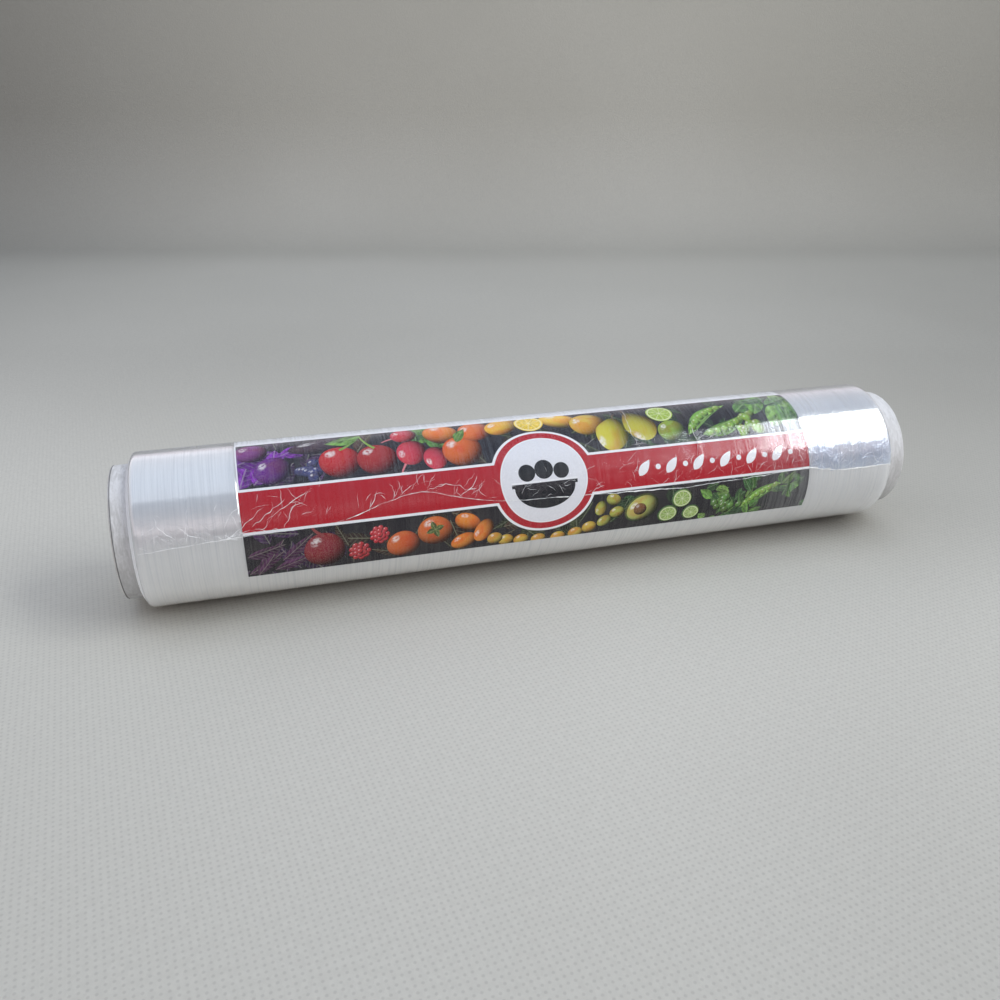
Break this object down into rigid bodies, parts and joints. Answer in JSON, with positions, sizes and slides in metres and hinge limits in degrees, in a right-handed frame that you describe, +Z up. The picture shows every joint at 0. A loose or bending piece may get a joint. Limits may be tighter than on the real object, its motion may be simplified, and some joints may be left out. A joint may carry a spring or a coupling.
{
  "type": "roll of cling film",
  "caption": "Roll of clear cling film wound on a paperboard tube that stands out at both ends, with a printed paper label under the last turn and a loose, creased free edge.",
  "frame": {"origin": "centre of the bottom of the whole roll's bounding box, on the surface that the roll lies on", "axes": "+X along the roll towards its right end, +Z up, -Y towards the side with the label's red band and the film's free edge"},
  "size_m": [0.316, 0.0578, 0.0582],
  "materials": {
    "paperboard": "matte grey-white paperboard with short fibres",
    "film": "glossy clear film, silvery and milky where it is wound, with fine streaks round the roll",
    "printed_paper": "printed paper under clear film"
  },
  "bodies": {
    "root": {"core_tube": "paperboard", "film_roll": "film", "label": "printed_paper"}
  },
  "joints": []
}
